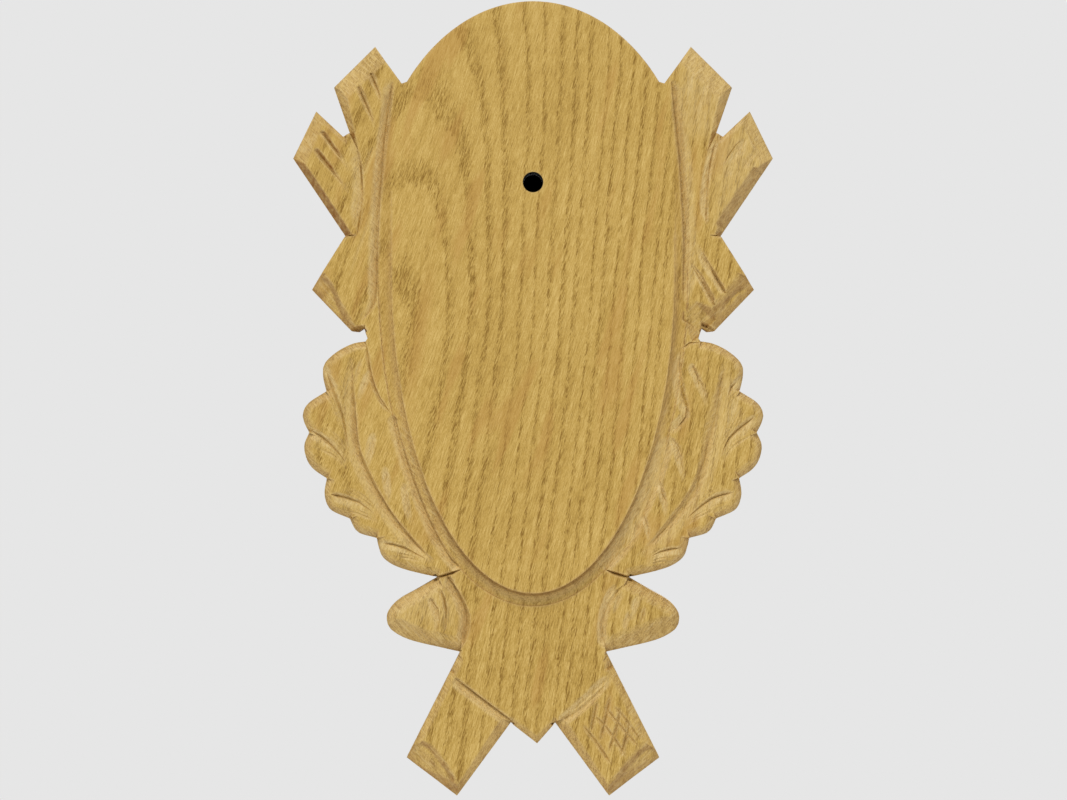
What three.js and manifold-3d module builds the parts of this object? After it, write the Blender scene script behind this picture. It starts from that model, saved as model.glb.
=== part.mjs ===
// Antler trophy plaque: one oak board, carved in relief on its front and flat behind, made to
// hang on a wall. Millimetres. Seen from the front, X is to the right and Z is up. The carving
// faces -Y and the flat back lies in the plane y = 0. The origin is on the back, on the centre
// line, at half the height. A point of the face is written [out, z], where out is its distance
// from the centre line, and a side of -1 or 1 puts it on the left or the right.

import * as THREE from 'three';
import { mergeVertices } from 'three/addons/utils/BufferGeometryUtils.js';
import Module from 'manifold-3d';

const wasm = await Module();
wasm.setup();

// Driving dimensions of the board.
const HEIGHT = 250;
const THICKNESS = 18;
const TOP_Z = HEIGHT / 2;
const FOOT_Z = -HEIGHT / 2;
const OAK = { color: 0xbe9c54, roughness: 0.55, metalness: 0 };

// The carving lies flush with the field down to FLUSH_Z, and falls away by FALL below it.
const FLUSH_Z = 65;
const FALL = 0.031;

// The field is egg-shaped: straight down to its widest line, then half an ellipse. A cove runs
// along its rim, and reaches its full extra depth below the carving at settleZ. Its wall drops
// straight for the upright share of its depth.
const FIELD = { halfWidth: 44.5, widestZ: 39, bottomZ: -60.9, steps: 80 };
const COVE = { width: 4.1, extraDepth: 0.5, settleZ: 45, upright: 0.2, steps: 9 };

// The crown is the top of an ellipse, up to the notch that parts it from the first stub.
const CROWN = { halfWidth: 50.9, centreZ: 57, notchOut: 39.6, steps: 16 };

// Corners of the antler stubs and the branch below them, from the crown down.
const STUB_A = [[41.2, 99.2], [46.1, 105.9], [49.6, 110.9], [62.6, 98.0], [57.6, 83.7]];
const STUB_B = [[59.6, 82.5], [68.1, 90.5], [75.4, 75.7], [59.0, 51.3]];
const BRANCH = [[69.6, 34.5], [57.1, 21.5], [55.0, 21.3], [53.2, 22.5], [52.0, 19.2]];
const FOOT_STUB = [[39.9, -113.0], [24.0, FOOT_Z], [7.0, -101.9]];
const SHIELD_TIP = [1.3, -108.4];

// Lobes of the oak leaf, each from notch to notch, and the acorn below it.
const LOBES = [
  [[52.6, 18.3], [56.9, 17.5], [62.0, 14.8], [65.7, 11.0], [66.0, 7.0], [65.0, 2.6]],
  [[65.0, 2.6], [70.4, -0.9], [72.4, -4.2], [72.0, -7.2], [70.4, -10.4]],
  [[70.4, -10.4], [72.0, -14.4], [71.2, -18.8], [69.0, -22.0], [64.9, -24.8]],
  [[64.9, -24.8], [65.6, -28.5], [65.3, -31.7], [63.4, -34.9], [57.6, -37.5]],
  [[57.6, -37.5], [56.4, -40.2], [54.6, -42.1], [49.2, -43.6]],
  [[49.2, -43.6], [48.6, -46.4], [47.3, -49.6], [44.0, -52.1], [39.0, -53.9], [30.0, -56.0]],
];
const ACORN = [
  [30.0, -56.0], [36.6, -59.8], [42.2, -63.0], [45.4, -66.2], [46.1, -69.3],
  [44.7, -72.5], [39.0, -75.7], [28.0, -78.4], [23.0, -79.5],
];
const EDGE_STEP = 1.8;
const CUT_STEP = 3.8;

// Rounded edges as [inward, below the face]: the lobes, and the fuller acorn.
const LOBE_EDGE = [[2.7, 0], [1.7, 0.35], [0.7, 1.15], [0, 2.3]];
const ACORN_EDGE = [[4.3, 0], [2.7, 0.55], [1.1, 1.7], [0, 3.2]];

// The screw hole through the field, and the hanging slot with round ends in the back.
const SCREW_HOLE = { radius: 3.1, z: 68.2, halfSides: 12 };
const SLOT = { radius: 4, bottomZ: 86, topZ: 98, depth: 7, halfSides: 10 };

// How far a cutter stands clear of the face and of the back, how far it passes the line where it
// meets the face or the outline, and how far the floor of a V cut rises above the face at its ends.
const LIFT = 0.4;
const CLEAR = 1;
const PASS = 1.2;
const RISE = 0.06;
const ABOVE = THICKNESS + CLEAR;

// Flat bevels: the line at which each leaves the face, a line past the outline, and the slope.
const BEVELS = {
  stubAEnd: { at: [[46.1, 105.9], [58.3, 94.4]], to: [[48.8, 113.0], [66.0, 96.0]], slope: 0.45 },
  stubASide: { at: [[58.3, 94.4], [53.6, 73.0]], to: [[64.6, 99.5], [57.6, 83.6]], slope: 1.1 },
  stubBEnd: { at: [[66.0, 86.6], [71.2, 73.4]], to: [[67.9, 92.5], [78.2, 73.6]], slope: 0.55 },
  stubBTop: { at: [[58.0, 79.6], [66.0, 86.6]], to: [[58.6, 83.0], [68.6, 92.6]], slope: 0.5 },
  stubBSide: { at: [[70.8, 73.0], [57.0, 52.2]], to: [[76.8, 77.4], [59.6, 50.6]], slope: 1.1 },
  branchFoot: { at: [[52.6, 23.4], [57.8, 22.6]], to: [[52.6, 20.6], [57.8, 20.2]], slope: 2.4 },
  footSide: { at: [[22.3, -83.1], [34.6, -107.6]], to: [[24.0, -79.0], [41.4, -113.6]], slope: 0.6 },
  footEnd: { at: [[34.4, -107.6], [23.5, -120.5]], to: [[42.0, -112.6], [23.4, -127.0]], slope: 0.35 },
  footEdge: { at: [[35.6, -110.6], [24.6, -120.2]], to: [[42.0, -112.6], [23.4, -127.0]], slope: 0.85 },
  footInside: { at: [[23.2, -120.5], [10.2, -100.6]], to: [[23.6, -127.0], [5.8, -101.9]], slope: 0.8 },
};

// V cuts: the depth, how far each side runs out per millimetre of depth (first the side to the
// left of the line, which is the outer one where the line goes down on the right of the board),
// and the share of the line's length over which the cut fades in and out.
const STYLES = {
  rim: { depth: 0.85, runs: [2.6, 0.35], fade: [0.06, 0.15] },
  crease: { depth: 0.6, runs: [0.75, 0.75], fade: [0.1, 0.1] },
  knife: { depth: 1.8, runs: [0.35, 0.35], fade: [0, 0.3] },
  groove: { depth: 1.1, runs: [0.75, 0.75], fade: [0.08, 0.9] },
  score: { depth: 0.9, runs: [0.75, 0.75], fade: [0.6, 0] },
  faint: { depth: 0.5, runs: [0.75, 0.75], fade: [0.3, 0.5] },
  vein: { depth: 0.85, runs: [0.75, 0.75], fade: [0.1, 0.45] },
  sharpRib: { depth: 0.8, runs: [2.4, 0.5], fade: [0.3, 0.15] },
  softRib: { depth: 0.8, runs: [2.2, 2.2], fade: [0.25, 0.25] },
  leafEdge: { depth: 0.85, runs: [2.1, 0.3], fade: [0.05, 0.02] },
  leafTop: { depth: 0.65, runs: [1.3, 0.5], fade: [0.08, 0.1] },
  acornNeck: { depth: 1.1, runs: [2.3, 0.4], fade: [0.04, 0.1] },
  acornLine: { depth: 0.8, runs: [0.75, 0.75], fade: [0.1, 0.6] },
  footLine: { depth: 1.1, runs: [2.4, 0.35], fade: [0.05, 0] },
  softLine: { depth: 0.8, runs: [2.0, 1.0], fade: [0.2, 0.05] },
};

// Cuts on both sides: the stop cut under the stubs, and the one between leaf and shield.
const CUTS = {
  knife: [
    [[59.6, 51.3], [55.2, 51.6]],
    [[32.0, -56.2], [27.0, -55.2], [22.2, -53.2]],
  ],
};

// The left side: its leaf has a sharp midrib, and its stubs have two tapered grooves each.
const LEFT = {
  side: -1,
  bevels: {
    branchEnd: { at: [[65.2, 39.8], [56.8, 24.2]], to: [[71.4, 34.6], [57.6, 20.2]], slope: 0.45 },
    branchEdge: { at: [[67.0, 36.4], [56.2, 23.6]], to: [[71.4, 34.6], [57.6, 20.2]], slope: 0.8 },
    shieldTip: { at: [[7.4, -99.6], [-1.3, -105.9]], to: [[8.2, -102.9], [-1.3, -110.6]], slope: 0.7 },
  },
  cuts: {
    rim: [[[44.2, 99.0], [46.7, 81.2], [48.0, 64.0], [48.9, 45.2], [49.2, 33.6], [50.8, 28.2],
      [54.6, 24.4]]],
    crease: [[[54.3, 76.5], [53.6, 64.0], [55.2, 51.4]]],
    groove: [
      [[51.1, 102.6], [48.9, 97.6], [47.6, 93.6]],
      [[54.9, 98.2], [52.1, 91.9], [49.9, 86.9]],
      [[66.5, 84.1], [62.7, 79.0], [59.0, 73.7]],
      [[68.4, 78.4], [64.3, 73.1], [59.3, 67.1]],
    ],
    sharpRib: [[[57.4, 14.7], [56.3, 2.0], [55.2, -12.9], [53.3, -19.1], [48.0, -30.1],
      [41.7, -39.5], [31.1, -51.1]]],
    vein: [
      [[65.6, 10.4], [63.4, 4.4], [59.9, -5.0], [57.8, -16.6]],
      [[70.3, -9.4], [66.2, -11.9], [61.8, -16.0], [58.4, -20.4]],
      [[65.2, -29.5], [59.6, -30.7], [54.9, -32.3], [49.2, -36.4]],
      [[48.6, -45.2], [42.7, -45.8], [38.0, -48.0], [32.9, -50.5]],
    ],
    leafTop: [[[52.4, 18.2], [51.1, 9.1], [48.6, 1.3], [44.2, -5.0]]],
    leafEdge: [[[43.3, -4.6], [41.4, -12.9], [38.6, -22.3], [35.1, -31.7], [31.1, -41.1],
      [26.7, -48.9], [22.9, -53.2]]],
    acornNeck: [[[27.3, -55.5], [24.5, -59.0], [22.3, -63.0], [20.4, -67.1], [20.4, -72.5],
      [22.6, -78.6]]],
    acornLine: [
      [[32.3, -62.4], [30.4, -65.2], [29.5, -69.3], [30.1, -74.0]],
      [[29.2, -59.3], [27.9, -63.0], [27.3, -66.8], [27.6, -73.1]],
    ],
    footLine: [[[24.8, -87.5], [16.6, -93.8], [6.2, -101.6]]],
  },
};

// The right side: its leaf has a broad soft midrib and a lobed inner edge, and its branch is
// scored twice.
const RIGHT = {
  side: 1,
  bevels: {
    branchEnd: { at: [[64.3, 39.8], [53.3, 26.3]], to: [[71.4, 34.6], [57.6, 20.2]], slope: 0.4 },
    branchEdge: { at: [[67.6, 37.2], [54.2, 23.8]], to: [[71.4, 34.6], [57.6, 20.2]], slope: 0.8 },
    branchHeel: { at: [[47.2, 29.6], [53.6, 27.6]], to: [[47.0, 25.0], [53.4, 21.0]], slope: 0.3 },
    acornUnder: { at: [[42.6, -67.4], [23.0, -74.6]], to: [[47.0, -72.0], [23.0, -81.0]], slope: 0.3 },
    shieldTip: { at: [[7.4, -99.6], [1.3, -105.6]], to: [[8.2, -102.9], [1.3, -110.6]], slope: 0.7 },
  },
  cuts: {
    rim: [[[43.3, 100.7], [44.2, 92.2], [45.5, 81.2], [46.7, 62.4], [47.4, 46.7], [47.1, 31.1]]],
    leafTop: [
      [[46.6, 28.6], [48.9, 24.8], [52.4, 20.6]],
      [[53.0, 17.8], [47.1, 17.0], [46.0, 9.0], [47.2, 2.2], [48.6, -3.5], [47.1, -6.9],
        [43.3, -11.0]],
    ],
    crease: [[[57.6, 82.0], [55.8, 75.0], [54.6, 65.6], [54.3, 54.6]]],
    score: [
      [[51.8, 48.9], [54.9, 43.0], [58.0, 37.3], [60.4, 33.4]],
      [[49.2, 43.0], [52.4, 38.0], [54.9, 33.6], [57.0, 29.6]],
    ],
    faint: [
      [[49.0, 101.0], [48.6, 95.0]],
      [[65.5, 82.0], [61.6, 77.0], [59.4, 72.6]],
      [[49.6, 11.6], [51.4, 8.2], [52.4, 2.8]],
      [[43.6, -12.2], [46.1, -15.4], [47.4, -22.3]],
      [[39.8, -26.0], [40.8, -30.1], [42.3, -33.2]],
    ],
    softRib: [[[61.2, 13.2], [56.5, -4.4], [52.4, -25.4], [43.6, -38.6], [31.4, -50.4]]],
    vein: [
      [[65.6, 6.6], [62.7, 4.4], [60.9, 0.2]],
      [[69.6, -5.6], [64.9, -9.1], [61.2, -12.9], [59.0, -18.5]],
      [[63.4, -29.2], [57.1, -30.7], [52.4, -33.9], [47.4, -38.3]],
      [[47.4, -46.7], [41.4, -47.4], [36.7, -49.6]],
    ],
    leafEdge: [[[43.3, -11.0], [39.8, -23.8], [35.1, -34.8], [31.7, -42.7], [27.3, -48.4],
      [21.3, -53.8]]],
    softLine: [
      [[29.5, -57.4], [25.1, -62.1], [22.6, -67.1], [21.6, -72.5], [22.9, -78.9]],
      [[23.6, -89.0], [17.9, -95.0], [13.2, -98.8], [6.8, -102.2]],
    ],
  },
};

// The height of the falling plane above the back, and of the carved face, which is never higher
// than the field.
function fallen(z) {
  return THICKNESS - (FLUSH_Z - z) * FALL;
}

function face(z) {
  return Math.min(THICKNESS, fallen(z));
}

function vectors(points) {
  return points.map(([u, v]) => new THREE.Vector2(u, v));
}

// A solid: a prism one unit long over a section, with place(u, v, along) giving [x, height, z]
// for each of its points.
function solid(section, steps, place, side = 1) {
  const shape = new THREE.Shape(vectors(section));
  const prism = new THREE.ExtrudeGeometry(shape, { depth: 1, steps, bevelEnabled: false });
  prism.deleteAttribute('normal');
  prism.deleteAttribute('uv');
  const geometry = mergeVertices(prism);
  const position = geometry.getAttribute('position');
  for (let i = 0; i < position.count; i += 1) {
    const [x, height, z] = place(position.getX(i), position.getY(i), position.getZ(i));
    position.setXYZ(i, side * x, -height, z);
  }
  const triangles = Uint32Array.from(geometry.getIndex().array);
  const mesh = new wasm.Mesh({
    numProp: 3,
    vertProperties: position.array,
    triVerts: side < 0 ? triangles.reverse() : triangles,
  });
  return new wasm.Manifold(mesh);
}

// A solid over a region of the face, between two heights that may change from point to point.
function slab(region, bottom, top, side) {
  return solid(region, 1, (x, z, share) => {
    return [x, THREE.MathUtils.lerp(bottom(x, z), top(x, z), share), z];
  }, side);
}

// Points along a smooth curve through the given ones, about a step apart.
function smooth(points, step) {
  if (points.length === 2) {
    return points;
  }
  const curve = new THREE.SplineCurve(vectors(points));
  const pieces = Math.max(2, Math.round(curve.getLength() / step));
  return curve.getSpacedPoints(pieces).map((point) => [point.x, point.y]);
}

// The direction to the left of a path at each of its points.
function leftward(path) {
  return path.map((_, i) => {
    const before = path[Math.max(0, i - 1)];
    const after = path[Math.min(path.length - 1, i + 1)];
    return new THREE.Vector2(before[1] - after[1], after[0] - before[0]).normalize();
  });
}

// A solid that follows a path on the face. place(u, v, z, share) gives, for a point of its
// section at a share of the way along, [distance to the left of the path, height].
function swept(path, section, place, side) {
  const left = leftward(path);
  const steps = path.length - 1;
  return solid(section, steps, (u, v, share) => {
    const i = Math.round(share * steps);
    const [x, z] = path[i];
    const [across, height] = place(u, v, z, share);
    return [x + left[i].x * across, height, z + left[i].y * across];
  }, side);
}

// The rim of the field, clockwise from just past the flush line on the right to that on the left.
function fieldRim() {
  const { halfWidth, widestZ, bottomZ, steps } = FIELD;
  const bow = Array.from({ length: steps + 1 }, (_, i) => {
    const angle = (Math.PI * i) / steps;
    return [halfWidth * Math.cos(angle), widestZ - (widestZ - bottomZ) * Math.sin(angle)];
  });
  const middleZ = (FLUSH_Z + widestZ) / 2;
  const right = [[halfWidth, FLUSH_Z + PASS], [halfWidth, middleZ]];
  return [...right, ...bow, [-halfWidth, middleZ], [-halfWidth, FLUSH_Z + PASS]];
}

// How deep the cove's floor lies under the field.
function coveDepth(z) {
  const settled = THREE.MathUtils.clamp((FLUSH_Z - z) / (FLUSH_Z - COVE.settleZ), 0, 1);
  return THICKNESS - fallen(z) + COVE.extraDepth * settled;
}

// The cove: a quarter of an ellipse along the rim, upright beside the field and level beside the
// carving.
function cove() {
  const { width, steps, upright } = COVE;
  const hollow = Array.from({ length: steps }, (_, i) => {
    const share = (i + 1) / steps;
    return [share * width, -Math.sqrt(1 - (1 - share) ** 2)];
  });
  const section = [[0, CLEAR], [0, -upright], ...hollow, [width, CLEAR]];
  return swept(fieldRim(), section, (u, v, z) => {
    return [u, THICKNESS + (v > 0 ? v : v * coveDepth(z))];
  });
}

// What is taken off in front of the carved face, from a line along the floor of the cove outward.
function carvedLevel() {
  const rim = fieldRim();
  const left = leftward(rim);
  const out = COVE.width - PASS;
  const edge = rim.map(([x, z], i) => [x + left[i].x * out, z + left[i].y * out]);
  const inside = slab(edge, () => 0, () => ABOVE + CLEAR);
  const reach = TOP_Z + PASS;
  const top = FLUSH_Z + PASS / 2;
  const sheet = [[-reach, -reach], [reach, -reach], [reach, top], [-reach, top]];
  return slab(sheet, (x, z) => fallen(z), () => ABOVE).subtract(inside);
}

// A flat bevel: all that stands in front of a plane through the line where it leaves the face.
function bevel({ at, to, slope }, side) {
  const [from, until] = vectors(at);
  const [beyond] = vectors(to);
  const along = until.clone().sub(from).normalize();
  const outward = new THREE.Vector2(-along.y, along.x);
  if (beyond.sub(from).dot(outward) < 0) {
    outward.negate();
  }
  const height = (x, z) => face(z) - slope * new THREE.Vector2(x, z).sub(from).dot(outward);
  const start = at.map(([x, z]) => [x - outward.x * PASS, z - outward.y * PASS]);
  return slab([...start, to[1], to[0]], height, () => ABOVE + CLEAR, side);
}

// A V cut along a line, as deep as its fades allow.
function cut(line, { depth, runs, fade }, side) {
  const [fadeIn, fadeOut] = fade;
  const section = [[runs[0], 1], [0, 0], [-runs[1], 1]];
  return swept(smooth(line, CUT_STEP), section, (u, v, z, share) => {
    const start = fadeIn > 0 ? share / fadeIn : 1;
    const end = fadeOut > 0 ? (1 - share) / fadeOut : 1;
    const deep = depth * Math.min(1, start, end) - RISE;
    return [u * (deep + LIFT), face(z) - deep + v * (deep + LIFT)];
  }, side);
}

// The point at a distance across on the straight line through two points of a section.
function onLine([u0, v0], [u1, v1], across) {
  return [across, v0 + ((across - u0) * (v1 - v0)) / (u1 - u0)];
}

// What is taken off to round an edge over along a stretch of the outline.
function edgeRound(line, profile, side) {
  const edge = profile.map(([inward, below]) => [-inward, -below]);
  const first = edge[0][0] - PASS;
  const section = [
    [first, CLEAR],
    onLine(edge[0], edge[1], first),
    ...edge.slice(1),
    onLine(edge.at(-2), edge.at(-1), PASS),
    [PASS, CLEAR],
  ];
  return swept(smooth(line, EDGE_STEP), section, (u, v, z) => [u, face(z) + v], side);
}

// The outline from the top down, on the right of the centre line.
function sideOutline() {
  const { halfWidth, centreZ, notchOut, steps } = CROWN;
  const sweepAngle = Math.asin(notchOut / halfWidth);
  const crown = Array.from({ length: steps }, (_, i) => {
    const angle = (sweepAngle * (i + 1)) / steps;
    return [halfWidth * Math.sin(angle), centreZ + (TOP_Z - centreZ) * Math.cos(angle)];
  });
  const leaf = LOBES.flatMap((lobe) => smooth(lobe, EDGE_STEP).slice(0, -1));
  const acorn = smooth(ACORN, EDGE_STEP);
  return [...crown, ...STUB_A, ...STUB_B, ...BRANCH, ...leaf, ...acorn, ...FOOT_STUB];
}

// The whole outline, counter-clockwise from the tip of the shield.
function outline() {
  const right = sideOutline();
  const left = right.map(([out, z]) => [-out, z]);
  return [SHIELD_TIP, ...right.reverse(), [0, TOP_Z], ...left];
}

// A ring of 2 * halfSides points: a circle, or a slot with round ends between two heights.
function roundRing(radius, halfSides, lowZ, highZ = lowZ) {
  return Array.from({ length: 2 * halfSides }, (_, i) => {
    const angle = (Math.PI * (i + 0.5)) / halfSides;
    const centre = Math.sin(angle) > 0 ? highZ : lowZ;
    return [radius * Math.cos(angle), centre + radius * Math.sin(angle)];
  });
}

// Everything that the carver takes off one side of the board.
function carving({ side, bevels, cuts }) {
  const planes = [...Object.values(BEVELS), ...Object.values(bevels)];
  const lines = [...Object.entries(CUTS), ...Object.entries(cuts)];
  return [
    ...planes.map((plane) => bevel(plane, side)),
    ...LOBES.map((lobe) => edgeRound(lobe, LOBE_EDGE, side)),
    edgeRound(ACORN, ACORN_EDGE, side),
    ...lines.flatMap(([style, paths]) => paths.map((path) => cut(path, STYLES[style], side))),
  ];
}

function holes() {
  const hole = roundRing(SCREW_HOLE.radius, SCREW_HOLE.halfSides, SCREW_HOLE.z);
  const slot = roundRing(SLOT.radius, SLOT.halfSides, SLOT.bottomZ, SLOT.topZ);
  return [
    slab(hole, () => -CLEAR, () => ABOVE),
    slab(slot, () => -CLEAR, () => SLOT.depth),
  ];
}

function plaque() {
  const cutters = [carvedLevel(), cove(), ...carving(LEFT), ...carving(RIGHT), ...holes()];
  const board = slab(outline(), () => 0, () => THICKNESS);
  return cutters.reduce((rest, cutter) => rest.subtract(cutter), board);
}

// A named mesh of a solid.
function piece(name, shape, finish) {
  const { vertProperties, triVerts } = shape.getMesh();
  const geometry = new THREE.BufferGeometry();
  geometry.setAttribute('position', new THREE.BufferAttribute(vertProperties, 3));
  geometry.setIndex(new THREE.BufferAttribute(triVerts, 1));
  const mesh = new THREE.Mesh(geometry, new THREE.MeshStandardMaterial(finish));
  mesh.name = name;
  return mesh;
}

const group = new THREE.Group();
group.add(piece('trophy_plaque', plaque(), OAK));

export default group;
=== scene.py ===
"""Antler trophy plaque: one carved oak board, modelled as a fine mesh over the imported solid.

Lengths are in millimetres until the mesh is written, which is in metres. Seen from the front, X is
to the right and Z is up. The carving faces -Y and the flat back lies at y = 0. Heights are measured
from the back, so a height of h lies at y = -h.
"""

import math

import bmesh
import bpy
import numpy as np
from numpy.linalg import norm
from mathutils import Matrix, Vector, noise
from mathutils.bvhtree import BVHTree
from mathutils.geometry import delaunay_2d_cdt
from mathutils.kdtree import KDTree


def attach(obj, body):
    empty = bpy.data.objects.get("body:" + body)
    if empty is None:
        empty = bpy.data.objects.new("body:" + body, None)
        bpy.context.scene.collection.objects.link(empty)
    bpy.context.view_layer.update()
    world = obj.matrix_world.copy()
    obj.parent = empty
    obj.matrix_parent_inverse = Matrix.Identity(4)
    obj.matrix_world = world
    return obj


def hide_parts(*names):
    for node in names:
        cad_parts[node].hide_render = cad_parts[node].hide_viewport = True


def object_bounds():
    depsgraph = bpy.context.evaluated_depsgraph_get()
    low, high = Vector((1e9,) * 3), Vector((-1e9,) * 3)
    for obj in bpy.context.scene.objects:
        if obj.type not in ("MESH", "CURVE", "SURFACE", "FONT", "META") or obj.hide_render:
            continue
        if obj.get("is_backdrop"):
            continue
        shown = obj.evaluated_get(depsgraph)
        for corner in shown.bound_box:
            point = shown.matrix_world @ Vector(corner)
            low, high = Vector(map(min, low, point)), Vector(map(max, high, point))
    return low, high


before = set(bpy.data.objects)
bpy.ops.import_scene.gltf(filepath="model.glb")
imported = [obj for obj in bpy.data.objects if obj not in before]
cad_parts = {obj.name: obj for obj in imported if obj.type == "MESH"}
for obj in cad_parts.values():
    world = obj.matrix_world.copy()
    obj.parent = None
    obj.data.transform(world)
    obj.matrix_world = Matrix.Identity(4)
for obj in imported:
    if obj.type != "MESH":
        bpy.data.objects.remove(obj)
cad_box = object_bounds()

MM = 0.001
NODE = "trophy_plaque"

# The board, as the solid has it, and how far its edges are rounded off.
THICKNESS = 18.0
ARRIS = 0.2

# Openings with round ends: the centres of their ends, and how high the bore reaches. The screw hole
# goes right through.
HOLE = {"x": 0.0, "low_z": 68.2, "high_z": 68.2, "radius": 3.1, "top": THICKNESS - ARRIS, "sides": 48}
SLOT = {"x": 0.0, "low_z": 86.0, "high_z": 98.0, "radius": 4.0, "top": 7.0, "sides": 48}
HOLE_CENTRE = (HOLE["x"], HOLE["low_z"])

# Spacing of the mesh: on the carving, on the flat field in steps of the carving's, along the
# outline and on the back. Then the rows of points down the sawn edge and down a bore.
CARVED_STEP = 0.45
FIELD_STRIDE = 4
OUTLINE_STEP = 0.6
BACK_STEP = 5.0
WALL_ROWS = 7
BORE_ROWS = 4

# Room kept free of points: along each line, round the hole, and between lines and the lattice. The
# two edges of an upright wall are each moved by WALL_SHIFT.
LINE_CLEARANCE = 0.3
HOLE_CLEARANCE = 2 * HOLE["radius"]
LATTICE_CLEARANCE = 0.55 * CARVED_STEP
WALL_SHIFT = 0.07

# The front is carved where it lies this far under the field, and for so many cells round there.
CARVED_DEPTH = 0.02
CARVED_CELLS = 5

# All of the front is higher than this. A ray that misses it is sent again, moved a little.
LOWEST_FRONT = 1.0
NUDGES = (0.0, 2e-3, -3e-3)
TOLERANCE = 1e-3

# Edges of the solid that turn by more than LINE_ANGLE are lines of the mesh. The outline is curved
# where it turns by less than CORNER_ANGLE, but for stretches of more than STRAIGHT_STEPS steps.
# Faces that meet at more than SHARP_ANGLE are shaded apart. A face is a wall where its normal has
# no more than UPRIGHT of it forward, and part of the back where it has over FACES_BACK backward.
LINE_ANGLE = math.radians(13)
CORNER_ANGLE = math.radians(22)
SHARP_ANGLE = math.radians(38)
UPRIGHT = 0.2
FACES_BACK = 0.99
STRAIGHT_STEPS = 6
LONGEST_MITRE = 2.2

# Gouge and knife strokes finer than the solid's. Each has its line, [x, z] points from where it
# starts, then how far it runs out to the left and to the right of that line, its depth, and the
# shares of its length over which it fades in and out.
STUB_GROOVES = [
    ([[-51, 102.6], [-49.6, 99], [-48.3, 95.8], [-47.1, 92.2]], 0.9, 1, 1.3, 0.04, 0.8),
    ([[-54.9, 98.4], [-53.3, 94.7], [-51.8, 91.5], [-49.5, 85.4]], 0.9, 1, 1.35, 0.04, 0.8),
    ([[-66.5, 84.4], [-63.7, 80.6], [-60.5, 76.4], [-57.4, 71.6]], 0.85, 1, 1.05, 0.05, 0.95),
    ([[-68.5, 78.8], [-65.5, 75.2], [-61.5, 70.2], [-57.6, 64.6]], 0.8, 0.95, 1, 0.05, 0.95),
    ([[50.4, 104.6], [49.2, 98.6], [48.3, 91]], 1.2, 1.3, 0.42, 0.3, 0.6),
    ([[54.8, 99.8], [52.8, 94.2], [51, 86.4]], 1.2, 1.2, 0.42, 0.2, 0.6),
    ([[67.6, 82.6], [64, 77.6], [61.6, 73], [59.4, 67]], 1, 1.4, 0.55, 0.2, 0.6),
    ([[70, 78], [66.6, 73.8], [63.8, 69]], 0.9, 0.9, 0.45, 0.2, 0.6),
    ([[67.2, 84.8], [68.7, 81.2], [70.8, 77.8]], 0.35, 0.8, 0.4, 0.2, 0.3),
]
BRANCH_EDGES = [
    ([[-44, 100.4], [-45.3, 88], [-46.8, 76], [-47.8, 66], [-48.6, 55], [-48.9, 45],
      [-49.1, 34], [-50.4, 28.8], [-54.4, 24.6]], 0.35, 3, 1, 0.04, 0.15),
    ([[-56.3, 83], [-55, 77.4], [-53.8, 71.6], [-53.8, 66], [-54.5, 60.4], [-55.5, 53.6]],
     0.4, 2.9, 0.85, 0.25, 0.2),
    ([[-49.2, 80.4], [-51.4, 75.6], [-53.5, 70]], 0.35, 0.5, 0.4, 0.3, 0.2),
    ([[-50.4, 62], [-52.6, 53], [-55.4, 45.6], [-57.6, 38.4]], 0.5, 0.4, 0.22, 0.3, 0.4),
    ([[43.7, 100.4], [44.2, 92], [45.2, 82], [46.2, 73], [46.9, 62], [47.4, 50],
      [47.4, 40], [47.3, 30.6]], 4.1, 0.35, 1, 0.05, 0.1),
    ([[57.8, 81.4], [55.9, 75], [54.5, 68], [54, 62], [54.7, 55.6]], 0.8, 1.8, 0.65, 0.1, 0.1),
    ([[51.4, 49], [53.5, 45], [56, 40.6], [58.5, 37], [60.5, 33.6]], 0.4, 2, 0.85, 0.3, 0.05),
    ([[49.2, 43.4], [52.5, 39], [55, 34.7], [57.1, 30.7]], 0.4, 1.8, 0.8, 0.3, 0.05),
    ([[52.9, 23.5], [54.7, 22.7], [56.9, 21.5]], 0.9, 0.7, 1.7, 0.05, 0.3),
    ([[-53.4, 22.6], [-55, 21.9], [-57, 21.9]], 0.7, 0.7, 1.2, 0.1, 0.3),
]
LEAF_RIBS = [
    ([[-56.6, 13.4], [-56.9, 5], [-55.9, -5], [-55.2, -14], [-52.6, -22], [-47.6, -31],
      [-41.5, -40], [-35, -47.4], [-30.8, -51.2]], 0.45, 3.6, 1.05, 0.2, 0.1),
    ([[60, 12.6], [58.9, 4], [57.4, -5], [55.4, -13], [53.6, -20], [50.6, -27.5],
      [45.4, -35.5], [40, -42.5], [34.2, -49]], 4.6, 0.9, 0.95, 0.15, 0.15),
    ([[-43.7, -4.6], [-41.5, -13], [-38.5, -22.4], [-35, -31.8], [-31, -41], [-26.7, -48.6],
      [-23, -53]], 0.35, 2.8, 0.95, 0.03, 0.02),
    ([[42.4, -11.6], [39.7, -20], [36.5, -28.5], [32.7, -36.5], [28.7, -43.4], [24.7, -49.4],
      [21.6, -53.5]], 3.2, 3.2, 0.3, 0.06, 0.02),
    ([[-51.6, 15.4], [-51, 8], [-48.9, 1.6], [-46.2, -3.4]], 0.5, 0.5, 0.35, 0.2, 0.2),
    ([[46.7, 15], [46, 9], [46.2, 4], [47.4, -1], [48.7, -4.6], [47.2, -6.8], [44.4, -9.4],
      [43, -11]], 0.35, 2.4, 0.75, 0.15, 0.1),
]
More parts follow.
